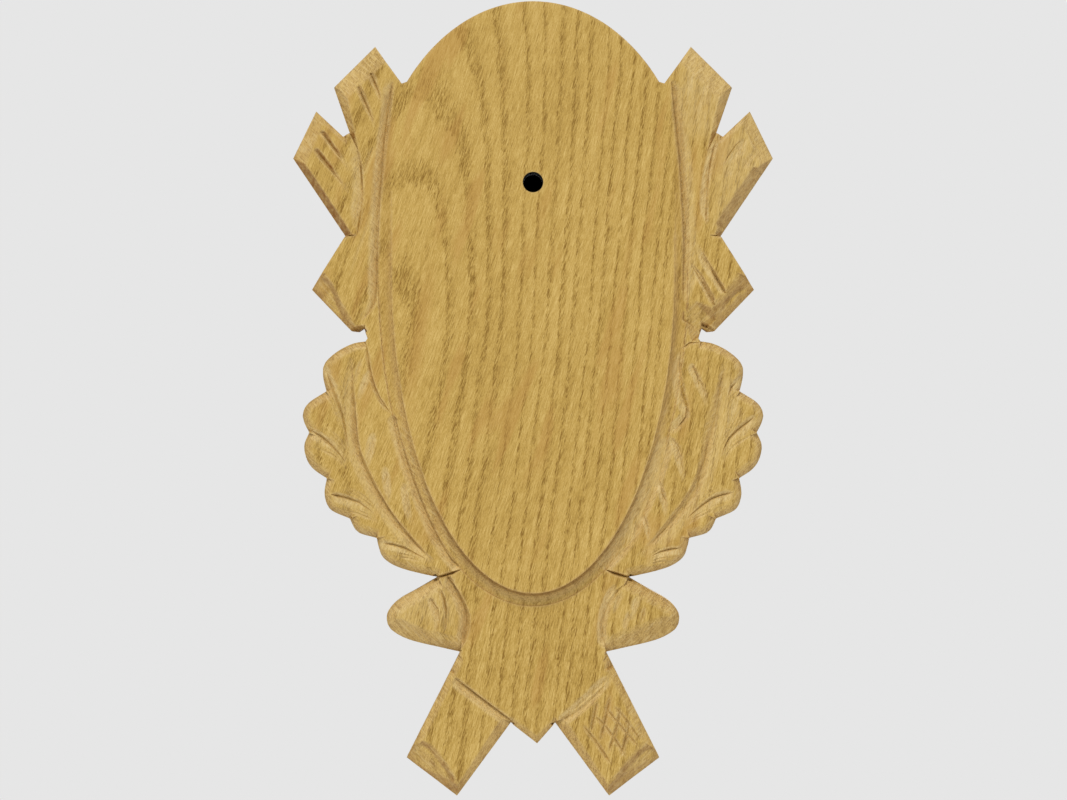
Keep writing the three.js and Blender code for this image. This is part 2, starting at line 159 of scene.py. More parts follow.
LEAF_VEINS = [
    ([[-65.7, 10.4], [-63.9, 6.5], [-62.2, 3], [-60.8, -1], [-59.7, -7]], 1.2, 0.9, 0.55, 0.04, 0.7),
    ([[-69.9, -9.7], [-65.6, -12.3], [-62, -15], [-58.6, -19.8]], 1.2, 2.4, 0.6, 0.06, 0.6),
    ([[-63.2, -29.8], [-57.5, -31.6], [-53, -34], [-49.2, -36.8]], 1.2, 2.6, 0.6, 0.1, 0.6),
    ([[-48.6, -44.9], [-43.5, -45.9], [-39, -47.4], [-34.8, -49.6]], 1, 2.2, 0.5, 0.1, 0.6),
    ([[65.9, 7.2], [63.6, 5.3], [61.8, 2.6], [60.5, -1.2]], 2.2, 1, 0.6, 0.06, 0.6),
    ([[69.9, -5.2], [66.4, -8.1], [63, -10.8], [60.8, -14], [59, -18.8]], 2.5, 1.2, 0.65, 0.08, 0.6),
    ([[63.4, -29.4], [58.5, -30.2], [54.5, -32.6], [50.6, -35.4], [46.8, -39.4]], 2.4, 1.2, 0.6, 0.1, 0.6),
    ([[47.2, -47], [42, -47.4], [38.8, -48.8], [35.8, -50.2]], 2, 1, 0.5, 0.1, 0.5),
    ([[64.6, 1.6], [62.6, -4], [60.6, -9.8]], 1.2, 1.2, 0.4, 0.3, 0.5),
]
LEAF_STROKES = [
    ([[-51.1, 9.6], [-52.9, 5], [-54.9, -0.2]], 1, 1.4, 0.5, 0.25, 0.4),
    ([[-49.9, -10.4], [-50.8, -15], [-52, -21.4]], 1.1, 1.8, 0.65, 0.2, 0.45),
    ([[-46.5, -21], [-45.7, -26.5], [-45.2, -32.6]], 1, 1.6, 0.6, 0.2, 0.45),
    ([[-40.3, -26], [-39.7, -31.5], [-38.4, -39]], 0.8, 1.7, 0.65, 0.15, 0.4),
    ([[-53.6, 13], [-55, 9], [-55.6, 4.6]], 0.5, 0.9, 0.45, 0.3, 0.5),
    ([[49.6, 11.6], [51.6, 7.6], [53.6, 3], [54.9, -2]], 0.5, 2, 0.85, 0.12, 0.5),
    ([[43.3, -11.6], [45.4, -15.5], [46.6, -20], [47.5, -25.6]], 0.5, 1.9, 0.85, 0.12, 0.5),
    ([[39.6, -25.2], [40.6, -28], [41.6, -32], [41.9, -36.6]], 0.5, 1.8, 0.85, 0.12, 0.5),
    ([[34.6, -36.2], [36, -40], [36.7, -44.6]], 0.5, 1.3, 0.65, 0.15, 0.5),
]
ACORN_STROKES = [
    ([[-26.9, -55.9], [-24.6, -59], [-22.4, -63.5], [-20.9, -68], [-21.2, -73], [-22.6, -78]],
     0.5, 2.7, 1.25, 0.05, 0.15),
    ([[-27.2, -55.4], [-25.9, -57], [-24.8, -58.6]], 0.8, 0.7, 1.8, 0.2, 0.4),
    ([[-32.3, -62.2], [-30.9, -65.3], [-30.1, -68.5], [-30.3, -72], [-30.9, -74.8]],
     0.7, 1.8, 1.05, 0.08, 0.7),
    ([[-29.5, -59.6], [-28.6, -61.7], [-27.7, -64.6], [-27.6, -69], [-27.9, -74]],
     0.7, 0.9, 0.85, 0.06, 1.2),
    ([[25.8, -58.2], [23.4, -63], [21.9, -68], [21.4, -73], [22.2, -78.4]], 1.5, 1.4, 0.8, 0.15, 0.1),
    ([[33.3, -61.4], [31.9, -65], [31.1, -69.6]], 1.3, 1.3, 0.5, 0.3, 0.5),
    ([[30.6, -66], [29.2, -70], [28.5, -74]], 0.9, 0.9, 0.45, 0.3, 0.4),
    ([[35.1, -65.2], [34.5, -68], [33.7, -71.4]], 0.6, 0.6, 0.5, 0.2, 0.5),
    ([[28.4, -60.2], [26.4, -64], [25.2, -67.6]], 0.9, 0.9, 0.45, 0.3, 0.5),
]
FOOT_STROKES = [
    ([[-24.8, -87.5], [-16.6, -93.8], [-6.4, -101.5]], 0.5, 3, 0.7, 0.04, 0.02),
    ([[24.4, -87], [20.5, -90.5], [17, -94], [12.6, -98], [8.4, -101.6]], 2.3, 1.7, 0.9, 0.15, 0.05),
    ([[37, -113.6], [33.5, -114.5], [31, -115.8], [28.6, -118.6]], 0.5, 0.6, 0.4, 0.15, 0.3),
    ([[15.8, -102.6], [20, -108], [24.8, -115.2]], 0.5, 0.65, 0.7, 0.12, 0.2),
    ([[19.4, -99.4], [24, -104.5], [29.6, -113]], 0.5, 0.65, 0.7, 0.12, 0.2),
    ([[22.4, -96.4], [26.5, -101.5], [33.4, -109.6]], 0.5, 0.65, 0.7, 0.12, 0.2),
    ([[25.6, -96.6], [29, -100.5], [34, -107.6]], 0.5, 0.65, 0.65, 0.12, 0.2),
    ([[20.4, -94.4], [19.4, -99.4], [18.2, -105]], 0.55, 0.55, 0.75, 0.2, 0.2),
    ([[24.4, -93], [23, -100], [21, -108]], 0.55, 0.55, 0.75, 0.2, 0.2),
    ([[27.6, -96.4], [26.2, -103.4], [23.6, -112]], 0.55, 0.55, 0.75, 0.2, 0.2),
    ([[30.8, -100.8], [29.4, -106.4], [27.4, -112.8]], 0.55, 0.55, 0.75, 0.2, 0.2),
]
# Scoops at the ends of the branches and feet, which leave no bare wood.
SCOOPS = [
    ([[-66.6, 38.2], [-64, 35.6], [-62.3, 31.8], [-60.8, 27.8], [-58.6, 24]], 1.3, 3.2, 0.9, 0.1, 0.3),
    ([[-36.9, -108.6], [-34.4, -109.3], [-31.8, -111.2], [-28.4, -115.8], [-25, -120.8]],
     1.7, 6, 1.05, 0.1, 0.12),
    ([[67.2, 35], [64.3, 33.5], [61.2, 30.3], [58.6, 26.9]], 0.8, 1.3, 0.5, 0.15, 0.4),
    ([[38.4, -110.2], [35.4, -110.9], [30.3, -116], [26.2, -121]], 5.5, 1.6, 0.95, 0.12, 0.15),
]

# Fine strokes beside each vein: how far apart they start, the share of that at their end, how many,
# how much further on each lies, and their cut.
FEATHERS = {"apart": 1.35, "closing": 0.35, "count": 3, "onward": 0.6,
            "cut": (0.35, 0.5, 0.3, 0.55, 0.3)}


def feathers(vein):
    """Fine strokes above and below a vein, which close in on it towards the rib."""
    line = np.array(vein[0], float)
    along_vein = (line[-1] - line[0]) / norm(line[-1] - line[0])
    across = np.array([-along_vein[1], along_vein[0]])
    shares = np.linspace(0, 1, len(line))[:, None]
    strokes = []
    for k in range(1, FEATHERS["count"] + 1):
        for side in (-1, 1):
            away = side * k * FEATHERS["apart"] * (1 - (1 - FEATHERS["closing"]) * shares)
            moved = line + across * away + along_vein * (FEATHERS["onward"] * k)
            strokes.append((moved.tolist(), *FEATHERS["cut"]))
    return strokes


STROKES = [*STUB_GROOVES, *BRANCH_EDGES, *LEAF_RIBS, *LEAF_VEINS, *LEAF_STROKES, *ACORN_STROKES,
           *FOOT_STROKES, *(stroke for vein in LEAF_VEINS for stroke in feathers(vein))]
CUTS = [*STROKES, *SCOOPS]

# Strokes between these widths leave pale bare wood, and others less of it. At its ends a stroke has
# this share of its width, and at its sides the bare wood sets in so steeply.
PALEST_STROKE = (1.4, 2.0)
NARROWEST = 0.45
BARE_SIDES = 5

# Flat facets beyond those of the solid: the line where each leaves the face, from left to right
# with the facet below it, and how steeply it falls.
FACETS = [
    ([[-43, -68.4], [-24.6, -76.4]], 0.62),
    ([[23.4, -75.4], [43.4, -67.4]], 0.58),
    ([[-35.8, -107.2], [-23.2, -121.6]], 0.6),
    ([[24.4, -120.8], [35.8, -108.2]], 0.6),
    ([[-65.6, 39.6], [-56.8, 25.2]], 0.6),
    ([[53.4, 26.2], [64.8, 39.4]], 0.62),
    ([[57.2, 55.4], [69, 72.8]], 0.9),
    ([[46.8, 27.4], [50.5, 31]], 0.34),
]

# How far a facet reaches, and how much faster it rises past the ends of its line than it falls.
FACET_REACH = 9.0
FACET_ENDS = 2.0

# Unevenness of the hand-cut surfaces: how deep and how wide each wave is, and its noise. Chisel
# marks run slantwise, outside the shield's half width, with a noise for each side of the board.
WAVES = [(0.035, 2.6, 3.0), (0.05, 7.0, 9.0)]
CHISEL_WAVE = {"deep": 0.1, "wide": 1.8, "long": 8.0, "right": 5.0, "left": 15.0}
SHIELD_HALF = 22.0

# Saw marks on the edge: their mean depth, then width, strength and noise, fine and coarse.
SAW_DEPTH = 0.03
SAW_MARKS = [(1.1, 1.0, 5), (4.5, 0.6, 8)]

# The field's rim: straight down to its widest line, then half an ellipse. The ground along it gets
# painted shade, over a band so far out of the rim and so wide each way, which fades out at both
# ends. The ground falls away below fall_z, at the slope of fall.
FIELD = {"half_width": 44.5, "widest_z": 39.0, "bottom_z": -60.9}
GROUND = {"out": 1.5, "half": 2.3, "gain": 1.6, "low_z": -20.0, "full_z": 20.0, "top_z": 100.0,
          "top_fade": 12.0, "fall_z": 65.0, "fall": 0.031}

# The narrow ledge between the cove and the right leaf's inner edge is cut away: its line, how far
# the cut reaches to each side, how deep it lies under the ground, and over which share of the line
# it fades in. The painted shade in grooves within eased of it is fainter, down to a least share.
LEDGE = {"line": [[42.7, -11.4], [39.4, -23.8], [34.8, -34.6], [31.2, -42.7], [26.9, -48.4],
                  [21.4, -53.6]],
         "reach": 0.95, "depth": 0.62, "fade_in": 0.12, "eased": 1.6, "least": 0.2}

# The shade under the field's rim.
SHADE = {"out": 0.4, "half": 0.7, "low_z": -54.0, "high_z": -14.0}

# A place is carved or steep from the first lean of its normal on, and fully so the second later.
CARVED_LEAN = (0.008, 0.06)
STEEP_LEAN = (0.06, 0.16)

# Painted shade on bevels that face down: corners of a box in X and Z, and how strongly.
DOWN_BEVEL_SHADES = [((-80, 50), (-56, 84), 1), ((56, 50), (80, 84), 0.4),
            ((-70, 20), (-54, 42), 0.55), ((45, 20), (70, 41), 0.5),
            ((-40, -124), (-22, -105), 0.62), ((22, -124), (40, -106), 0.5)]

# Paler wood, and painted light: corners of a box, with a soft margin, then how strongly the slopes
# that face up are painted lighter, as light from above would make them, and how much paler the rest is.
PALE_WOOD_AND_TOP_LIGHT = [((-66, 84), (-42, 118), 0.9, 0), ((-84, 62), (-56, 98), 0.4, 0),
             ((43, 80), (66, 118), 0.7, 0.5), ((54, 52), (84, 98), 0.7, 0.45),
             ((-48, -74), (-22, -54), 0.4, 0.45)]
PALE_MARGIN = 6.0

# What the mesh stores at each vertex for the material.
MARKS = ("carved", "crease_shade", "arris", "bare_and_lit", "steep", "down_bevel_shade", "ground", "shade")

# Lines over Z that the pith and the fibres follow: a constant, the height of the bend, the slopes
# below and above it, and how soft the bend is. FAN spreads the fibres.
PITH_X = (-42.3, 45.0, 0.08, 0.174, 15.0)
PITH_DEPTH = (33.0, 30.0, -0.06, 0.137, 15.0)
LEAN = (0.0, -50.0, 0.19, 0.32, 20.0)
FAN = 0.0012

# Growth rings: the first one's radius, their width, how uneven and how often so, and the early wood.
RINGS = {"first": 40.2, "width": 3.6, "uneven": 0.9, "often": 0.8, "early": (0.0, 0.12, 0.14, 0.56)}

# Grain that bends the rings and that tones the wood: how wide, how long and how strong it is.
RING_GRAIN = [(17.0, 46.0, 1.8), (2.6, 12.0, 0.9), (0.5, 1.3, 0.9)]
TONE_GRAIN = [(0.2, 3.6, 1.15), (0.17, 0.7, 0.7), (0.6, 12.0, 0.35), (2.1, 20.0, 0.3),
              (12.0, 34.0, 0.25)]
TONE = {"middle": 0.56, "early": -0.1, "pores": -0.42, "cracks": -0.3}
PORES = {"early": 0.93, "late": 0.07}
PIT_GRAIN = (0.3, 5.0, 0.9)

# Patches: how wide and how long they are, and the grain at which they set in and are full.
PATCHES = {"pores": (0.26, 2.4, -0.02, 0.1), "cracks": (0.24, 7.0, 0.13, 0.24),
           "rust": (7.0, 30.0, 0.06, 0.22), "streaks": (0.34, 5.0, 0.01, 0.14),
           "torn": (0.3, 1.1, 0.08, 0.22)}

# Unevenness: how wide, long and strong it is, and its mean.
UNEVEN = {"early": (5.0, 16.0, 1.2, 1.0), "bare_and_lit": (0.4, 3.0, 1.8, 0.5), "down_bevel_shade": (1.4, 2.2, 1.6, 0.68)}

# Chisel marks: width, length, noise, and where they set in and are full. Each side has its noise.
CHISEL = {"pared": (0.9, 7.0, 2.0, 0.03, 0.14), "scratched": (0.42, 5.0, 5.0, 0.06, 0.15)}
CHISEL_SIDE = 7.0

# A rusty streak at the field's left: its lean, and its rise and fall across and along.
STREAK_LEAN = 0.16
STREAK_ACROSS = (-43.5, -39.0, -39.0, -35.0)
STREAK_ALONG = (-8.0, 14.0, 26.0, 48.0)

# Colours in 0 to 255: of the wood from dark to light, and of what lies over it, painted light and shade
# among it, and how strongly.
WOOD = [(138, 101, 24), (192, 156, 74), (226, 194, 118)]
LAYERS = {"rust": ((182, 134, 60), 0.38), "carved": ((214, 182, 118), 0.22),
          "steep": ((216, 178, 116), 0.3), "streaks": ((128, 86, 32), 0.5),
          "bare_and_lit": ((224, 197, 136), 1.0), "torn": ((150, 108, 42), 0.5),
          "pared": ((224, 197, 136), 0.35), "scratched": ((140, 98, 40), 0.36),
          "arris": ((224, 198, 140), 0.45), "crease_shade": ((112, 74, 28), 0.7),
          "down_bevel_shade": ((142, 93, 30), 1.0), "bore": ((8, 6, 4), 1.0)}
GROUND_SHADE_TINT = (0.88, 0.84, 0.76, 1.0)
SHADE_TINT = (0.52, 0.42, 0.32, 1.0)
ROUGHNESS = {"plain": 0.44, "pores": 0.25, "carved": 0.08, "bore": 0.56}

# How far outside its wall the painted shade in the bore starts to fade.
BORE_SHADE_MARGIN = 0.04

# Camera: straight in front, at the scale of the photograph.
PHOTO_WIDTH, PHOTO_HEIGHT = 1067, 800
MM_PER_PIXEL = 0.3137
CENTRE_PIXEL = (533.0, 399.5)
CAMERA_DISTANCE = 1.5
SENSOR_WIDTH = 36.0

# Each light's place in metres, its size and its power, and the strength of the surroundings.
LIGHTS = {"key": ((-0.56, -3.32, 3.12), 2.24, 122.0), "rear": ((0.6, 1.6, 1.2), 1.2, 26.0)}
GLOW = 0.52


def solid_mesh(node):
    """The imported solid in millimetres, with its split vertices joined again."""
    solid = bmesh.new()
    solid.from_mesh(node.data)
    bmesh.ops.scale(solid, vec=(1 / MM,) * 3, verts=solid.verts)
    bmesh.ops.remove_doubles(solid, verts=solid.verts, dist=TOLERANCE)
    solid.normal_update()
    return solid


class Front:
    """The height of the solid's front at any point."""

    def __init__(self, solid):
        self.tree = BVHTree.FromBMesh(solid)

    def height(self, x, z):
        """The height at (x, z), or None where there is no material."""
        for nudge in NUDGES:
            start = Vector((x + nudge, -2 * THICKNESS, z + nudge))
            place = self.tree.ray_cast(start, Vector((0, 1, 0)))[0]
            if place is not None and place.y < -LOWEST_FRONT:
                return -place.y
        return None

    def nearest(self, x, z):
        """The height at (x, z), or at the nearest place of the surface."""
        found = self.height(x, z)
        if found is None:
            found = -self.tree.find_nearest(Vector((x, -THICKNESS, z)))[0].y
        return found


def back_outline(solid):
    """The (x, z) points round the flat back, counter-clockwise as seen from the front."""
    following = {}
    for edge in solid.edges:
        backs = [corner for corner in edge.link_loops if corner.face.normal.y > FACES_BACK]
        if len(backs) == 1 and all(abs(v.co.y) < TOLERANCE for v in edge.verts):
            following[backs[0].vert] = backs[0].link_loop_next.vert
    loops = []
    while following:
        start, current = following.popitem()
        loop = [start]
        while current is not start:
            loop.append(current)
            current = following.pop(current)
        loops.append(loop)
    return np.array([[v.co.x, v.co.z] for v in max(loops, key=len)])[::-1]


def legs(loop):
    """The steps of a closed loop from each point to the next, and to each from the one before."""
    ahead = np.roll(loop, -1, axis=0) - loop
    return ahead, np.roll(ahead, 1, axis=0)


def turns(loop):
    """The angle by which a closed loop turns at each of its points."""
    ahead, behind = legs(loop)
    cross = behind[:, 0] * ahead[:, 1] - behind[:, 1] * ahead[:, 0]
    dot = np.sum(behind * ahead, axis=1)
    return np.arctan2(cross, dot)


def catmull_rom(before, a, b, after, t):
    """The point at share t from a to b of a smooth curve through four points."""
    bow = (t ** 3 - 2 * t ** 2 + t) * (b - before) + (t ** 3 - t ** 2) * (after - a)
    return (2 * t ** 3 - 3 * t ** 2 + 1) * a + (3 * t ** 2 - 2 * t ** 3) * b + bow / 2


def resampled(loop, step):
    """The loop with points about a step apart, smooth between its corners."""
    corner = np.abs(turns(loop)) > CORNER_ANGLE
    count = len(loop)
    points = []
    for i in range(count):
        a, b = loop[i], loop[(i + 1) % count]
        before = a if corner[i] else loop[i - 1]
        after = b if corner[(i + 1) % count] else loop[(i + 2) % count]
        pieces = max(1, round(math.dist(a, b) / step))
        straight = math.dist(a, b) > STRAIGHT_STEPS * step
        for t in np.arange(pieces) / pieces:
            points.append(a + (b - a) * t if straight else catmull_rom(before, a, b, after, t))
    return np.array(points)


def inward(loop, distance):
    """The loop moved inward by a distance."""
    ahead, behind = (leg / norm(leg, axis=1)[:, None] for leg in legs(loop))
    across = np.stack([-(ahead + behind)[:, 1], (ahead + behind)[:, 0]], axis=1)
    length = norm(across, axis=1)
    across /= length[:, None]
    mitre = np.minimum(2.0 / length, LONGEST_MITRE)
    return loop + across * (distance * mitre)[:, None]


def round_ring(opening, wider=0.0):
    """The ring of an opening with round ends, counter-clockwise."""
    angles = 2 * np.pi * (np.arange(opening["sides"]) + 0.5) / opening["sides"]
    centre = np.where(np.sin(angles) > 0, opening["high_z"], opening["low_z"])
    radius = opening["radius"] + wider
    return np.stack([opening["x"] + radius * np.cos(angles), centre + radius * np.sin(angles)], axis=1)


def ring_reach(opening):
    """How far the sides of an opening's widened ring lie from the opening's middle."""
    return (opening["radius"] + ARRIS) * math.cos(math.pi / opening["sides"])


def in_opening(x, z):
    """Whether a point of the back lies over the screw hole or the hanging slot."""
    return any(math.hypot(x - opening["x"], z - np.clip(z, opening["low_z"], opening["high_z"]))
               < ring_reach(opening) for opening in (HOLE, SLOT))


def tree_of(points):
    """A search tree over (x, z) points."""
    tree = KDTree(len(points))
    for i, point in enumerate(points):
        tree.insert((*point, 0), i)
    tree.balance()
    return tree


def clearance(tree, point):
    """How far a point lies from the nearest one in a search tree."""
    return tree.find((*point, 0))[2]


def solid_lines(solid, outline_tree):
    """Segments of the solid's front where it turns sharply, as pairs of (x, z) points.

    The two edges of an upright wall lie one over the other, so each is moved a little to its
    own side."""
    segments, shifts = [], {}
    for edge in solid.edges:
        if len(edge.link_faces) != 2:
            continue
        middle = (edge.verts[0].co + edge.verts[1].co) / 2
        if clearance(outline_tree, (middle.x, middle.z)) < LINE_CLEARANCE:
            continue
        fronts = [face for face in edge.link_faces if face.normal.y < -UPRIGHT]
        walls = [face for face in edge.link_faces if abs(face.normal.y) <= UPRIGHT]
        beside_wall = len(fronts) == 1 and walls
        if beside_wall or len(fronts) == 2 and edge.calc_face_angle(0) > LINE_ANGLE:
            segments.append(edge)
        if beside_wall:
            normal, low = walls[0].normal, walls[0].calc_center_median().y
            shift = Vector((normal.x, 0, normal.z)).normalized()
            shift *= -WALL_SHIFT if middle.y < low else WALL_SHIFT
            for vertex in edge.verts:
                shifts.setdefault(vertex, []).append(shift)

    def place(vertex):
        moved = shifts.get(vertex)
        shift = sum(moved, Vector()) / len(moved) if moved else Vector()
        return np.array([vertex.co.x + shift.x, vertex.co.z + shift.z])

    return [(place(edge.verts[0]), place(edge.verts[1])) for edge in segments]


def smooth_line(line):
    """A Catmull-Rom curve through the points of a line, about CARVED_STEP apart."""
    ends = [2 * np.array(line[0]) - line[1], 2 * np.array(line[-1]) - line[-2]]
    knots = [ends[0], *map(np.array, line), ends[1]]
    points = []
    for before, a, b, after in zip(knots, knots[1:], knots[2:], knots[3:]):
        pieces = max(1, round(math.dist(a, b) / CARVED_STEP))
        points += [catmull_rom(before, a, b, after, k / pieces) for k in range(pieces)]
    return np.array([*points, knots[-2]])


class Plan:
    """Points and lines in the plane of the front, to be triangulated."""

    def __init__(self):
        self.points = []
        self.edges = []

    def add_ring(self, ring):
        start = len(self.points)
        self.points += [tuple(point) for point in ring]
        count = len(ring)
        self.edges += [(start + i, start + (i + 1) % count) for i in range(count)]
        return list(range(start, start + count))

    def add_segment(self, a, b, allowed):
        """Adds the allowed points of a segment, and joins them."""
        pieces = max(1, round(math.dist(a, b) / CARVED_STEP))
        previous = None
        for k in range(pieces + 1):
            point = a + (b - a) * (k / pieces)
            current = len(self.points) if allowed(point) else None
            if current is not None:
                self.points.append(tuple(point))
                if previous is not None:
                    self.edges.append((previous, current))
            previous = current

    def triangulate(self):
        """The points and triangles of the plan, and where each planned point has gone."""
        flat = [Vector(point) for point in self.points]
        places, _, faces, origins, _, _ = delaunay_2d_cdt(flat, self.edges, [], 1, TOLERANCE)
        gone = {source: i for i, sources in enumerate(origins) for source in sources}
        return np.array([list(place) for place in places]), faces, gone


def lattice(step, low, high):
    """Rows of a triangular lattice over a box, as an array of (x, z) points."""
    rows = int((high[1] - low[1]) / (step * math.sqrt(0.75))) + 1
    columns = int((high[0] - low[0]) / step) + 1
    row, column = np.mgrid[0:rows, 0:columns]
    x = low[0] + (column + 0.5 * (row % 2)) * step
    z = low[1] + row * step * math.sqrt(0.75)
    return np.stack([x, z], axis=2)


def spread(mask, cells):
    """The mask, grown by a number of cells each way."""
    for _ in range(cells):
        grown = mask.copy()
        for new, old in ((grown, mask), (grown.T, mask.T)):
            new[1:] |= old[:-1]
            new[:-1] |= old[1:]
        mask = grown
    return mask


def front_points(front, low, high):
    """Lattice points on the front: close together on the carving, wide apart on the field."""
    grid = lattice(CARVED_STEP, low, high)
    heights = np.array([[front.height(x, z) or 0.0 for x, z in row] for row in grid])
    carved = spread(np.abs(heights - THICKNESS) > CARVED_DEPTH, CARVED_CELLS)
    row, column = np.mgrid[0:grid.shape[0], 0:grid.shape[1]]
    coarse = (row % FIELD_STRIDE == 0) & (column % FIELD_STRIDE == 0)
    return grid[(heights > LOWEST_FRONT) & (carved | coarse)]


def front_surface(front, solid, outline):
    """The front as points with heights, triangles, and the indices of its two rings."""
    outline_tree = tree_of(resampled(outline, OUTLINE_STEP / 3))

    def allowed(point):
        clear = clearance(outline_tree, point) > LINE_CLEARANCE + ARRIS
        clear = clear and math.dist(point, HOLE_CENTRE) > HOLE["radius"] + ARRIS
        return clear and front.height(*point) is not None

    plan = Plan()
    rim = plan.add_ring(inward(outline, ARRIS))
    hole_rim = plan.add_ring(round_ring(HOLE, ARRIS))
    for a, b in solid_lines(solid, outline_tree):
        if math.dist(a, HOLE_CENTRE) > HOLE_CLEARANCE:
            plan.add_segment(a, b, allowed)
    solid_points = tree_of(plan.points)

    def allowed_cut(point):
        return allowed(point) and clearance(solid_points, point) > LINE_CLEARANCE

    for line, *_ in CUTS:
        curve = smooth_line(line)
        for a, b in zip(curve, curve[1:]):
            plan.add_segment(a, b, allowed_cut)
    lines = tree_of(plan.points)
    for point in front_points(front, outline.min(axis=0), outline.max(axis=0)):
        if clearance(lines, point) > LATTICE_CLEARANCE and allowed(point):
            plan.points.append(tuple(point))
    places, faces, gone = plan.triangulate()
    centres = np.array([places[list(face)].mean(axis=0) for face in faces])
    in_hole = np.hypot(*(centres - HOLE_CENTRE).T) < ring_reach(HOLE)
    faces = [face for face, inside in zip(faces, in_hole) if not inside]
    heights = np.array([front.nearest(x, z) for x, z in places])
    return places, heights, faces, [gone[i] for i in rim], [gone[i] for i in hole_rim]


def along(points, line):
    """For each point, how far it lies to the left of a line and its share of the way along."""
    lengths = norm(np.diff(line, axis=0), axis=1)
    total, passed = lengths.sum(), 0.0
    best = np.full(len(points), np.inf)
    left = np.zeros(len(points))
    share = np.zeros(len(points))
    for a, b, length in zip(line, line[1:], lengths):
        t = np.clip((points - a) @ (b - a) / length ** 2, 0, 1)
        offset = points - (a + t[:, None] * (b - a))
        distance = norm(offset, axis=1)
        side = np.where((b - a)[0] * offset[:, 1] - (b - a)[1] * offset[:, 0] > 0, 1, -1)
        nearer = distance < best
        best[nearer] = distance[nearer]
        left[nearer] = (side * distance)[nearer]
        share[nearer] = (passed + t[nearer] * length) / total
        passed += length
    return left, share


def cut_marks(places):
    """How much the cuts take off at each point of the front, and how bare they leave it."""
    taken = np.zeros(len(places))
    bare_and_lit = np.zeros(len(places))
    for number, (line, left_run, right_run, depth, fade_in, fade_out) in enumerate(CUTS):
        curve = smooth_line(line)
        reach = max(left_run, right_run)
        low, high = curve.min(axis=0) - reach, curve.max(axis=0) + reach
        near = np.nonzero(((places > low) & (places < high)).all(axis=1))[0]
        left, share = along(places[near], curve)
        strength = np.clip(np.minimum(share / fade_in, (1 - share) / fade_out), 0, 1)
        run = np.where(left > 0, left_run, right_run) * (NARROWEST + (1 - NARROWEST) * strength)
        inside = np.clip(1 - np.abs(left) / run, 0, 1)
        taken[near] = np.maximum(taken[near], depth * strength * inside)
        if number < len(STROKES):
            paleness = min(1.0, reach / PALEST_STROKE[0], PALEST_STROKE[1] / reach)
            paleness = paleness * np.clip(BARE_SIDES * inside, 0, 1) * np.sqrt(strength)
            bare_and_lit[near] = np.maximum(bare_and_lit[near], paleness)
    return taken, bare_and_lit


def ground_height(places):
    """The height of the ground beside the field, which falls away towards the foot."""
    return THICKNESS - np.clip(GROUND["fall_z"] - places[:, 1], 0, None) * GROUND["fall"]


def facet_marks(places, heights):
    """How much the extra facets take off at each point of the front."""
    taken = np.zeros(len(places))
    for line, slope in FACETS:
        a, b = np.array(line)
        length = norm(b - a)
        forward = (b - a) / length
        below = -((places - a) @ np.array([-forward[1], forward[0]]))
        ahead = (places - a) @ forward
        beside = np.maximum(0, np.maximum(-ahead, ahead - length))
        plane = ground_height(places) - slope * (below - FACET_ENDS * beside)
        inside = (below > 0) & (below < FACET_REACH) & (beside < FACET_REACH)
        taken = np.where(inside, np.maximum(taken, heights - plane), taken)
    return taken


def ledge_marks(places, heights):
    """How much the cut along the ledge takes off at each point of the front."""
    away, share = along(places, smooth_line(LEDGE["line"]))
    strength = np.minimum(1, share / LEDGE["fade_in"])
    level = ground_height(places) - LEDGE["depth"] * strength
    return np.where(np.abs(away) < LEDGE["reach"], np.maximum(0, heights - level), 0)


def tool_waves(places, heights):
    """Slight unevenness of the hand-cut surfaces, which the planed field doesn't have."""
    waves = np.zeros(len(places))
    for i, (x, z) in enumerate(places):
        if heights[i] >= THICKNESS - CARVED_DEPTH:
            continue
        for deep, wide, seed in WAVES:
            waves[i] += deep * noise.noise(Vector((x / wide, z / wide, seed)))
        if abs(x) > SHIELD_HALF:
            across, down = (abs(x) - z) / CHISEL_WAVE["wide"], (abs(x) + z) / CHISEL_WAVE["long"]
            seed = CHISEL_WAVE["right" if x > 0 else "left"]
            waves[i] += CHISEL_WAVE["deep"] * noise.noise(Vector((across, down, seed)))
    return waves


def saw_marks(loop):
    """How far each point of the sawn edge lies inward of the outline."""
    run = np.append(0, np.cumsum(norm(legs(loop)[0], axis=1))[:-1])
    marks = [sum(gain * noise.noise(Vector((s / wide, 0, seed))) for wide, gain, seed in SAW_MARKS)
             for s in run]
    return SAW_DEPTH + SAW_DEPTH * np.clip(marks, -1, 1)


